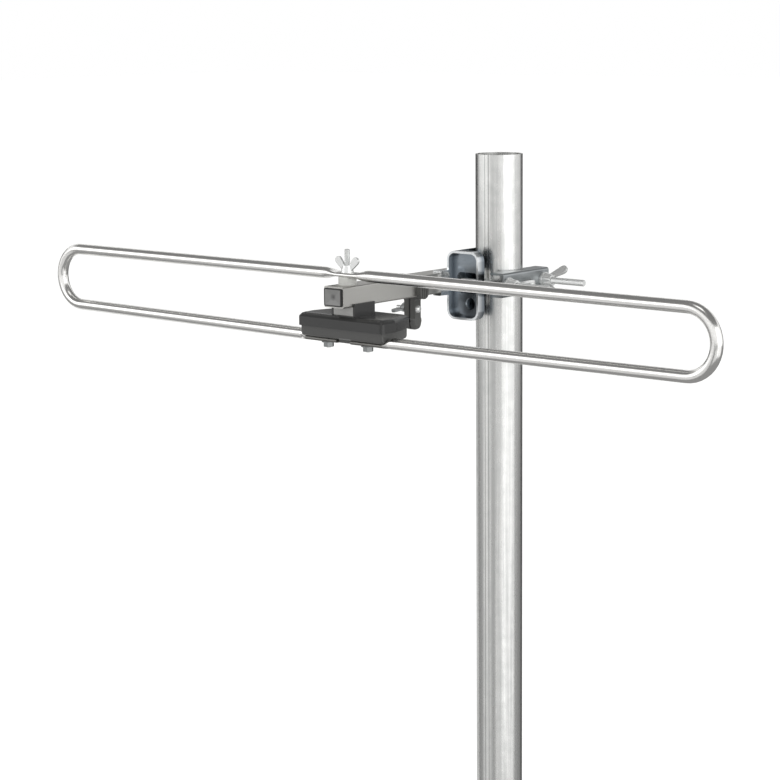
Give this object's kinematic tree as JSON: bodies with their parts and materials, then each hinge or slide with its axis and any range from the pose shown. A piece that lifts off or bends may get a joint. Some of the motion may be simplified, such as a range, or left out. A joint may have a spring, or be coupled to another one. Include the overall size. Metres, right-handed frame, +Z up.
{
  "type": "outdoor dab antenna",
  "caption": "Outdoor radio antenna: a folded dipole of bent tube and its terminal box on a short boom, held to a mast by a toothed clamp with wing nuts.",
  "frame": {"origin": "centre of the mast's foot", "axes": "+Z up the mast, +Y along the boom from the dipole to the mast, +X along the dipole, towards the side of the boom that the mast stands on"},
  "size_m": [0.7426, 0.2242, 0.64],
  "materials": {
    "dipole_aluminium": "bright drawn tube",
    "boom_aluminium": "satin extruded tube",
    "plug_plastic": "moulded polyethylene",
    "pad_plastic": "translucent moulded nylon",
    "zinc_steel": "bright zinc plate",
    "box_plastic": "satin moulded ABS",
    "saddle_plastic": "moulded nylon",
    "board_laminate": "glass-epoxy laminate",
    "ferrite": "sintered ferrite",
    "copper_wire": "enamelled copper",
    "socket_metal": "nickel-plated zinc",
    "socket_plastic": "moulded polyethylene",
    "clip_plastic": "moulded polyamide",
    "bracket_zinc": "blue zinc plate",
    "jaw_zinc": "zinc plate, worn",
    "mast_galvanised": "hot-dip galvanised"
  },
  "bodies": {
    "root": {"dipole_loop": "dipole_aluminium", "boom_tube": "boom_aluminium", "boom_front_plug": "plug_plastic", "boom_back_plug": "plug_plastic", "dipole_pad": "pad_plastic", "dipole_bolt": "zinc_steel", "dipole_wing_nut": "zinc_steel", "box_lid": "box_plastic", "box_base": "box_plastic", "lid_screws": "zinc_steel", "saddle_block": "saddle_plastic", "terminal_bolts": "zinc_steel", "terminal_washers": "zinc_steel", "terminal_nuts": "zinc_steel", "balun_board": "board_laminate", "balun_core": "ferrite", "balun_windings": "copper_wire", "aerial_socket": "socket_metal", "socket_insulator": "socket_plastic", "socket_lead": "copper_wire", "socket_nut": "socket_metal", "clip_near_jaw": "clip_plastic", "clip_far_jaw": "clip_plastic", "clip_bolt": "zinc_steel", "clip_wing_nut": "zinc_steel", "mast_bracket": "bracket_zinc", "clamp_jaw": "jaw_zinc", "clamp_bolts": "zinc_steel", "clamp_washers": "zinc_steel", "clamp_wing_nuts": "zinc_steel", "mast": "mast_galvanised"}
  },
  "joints": []
}
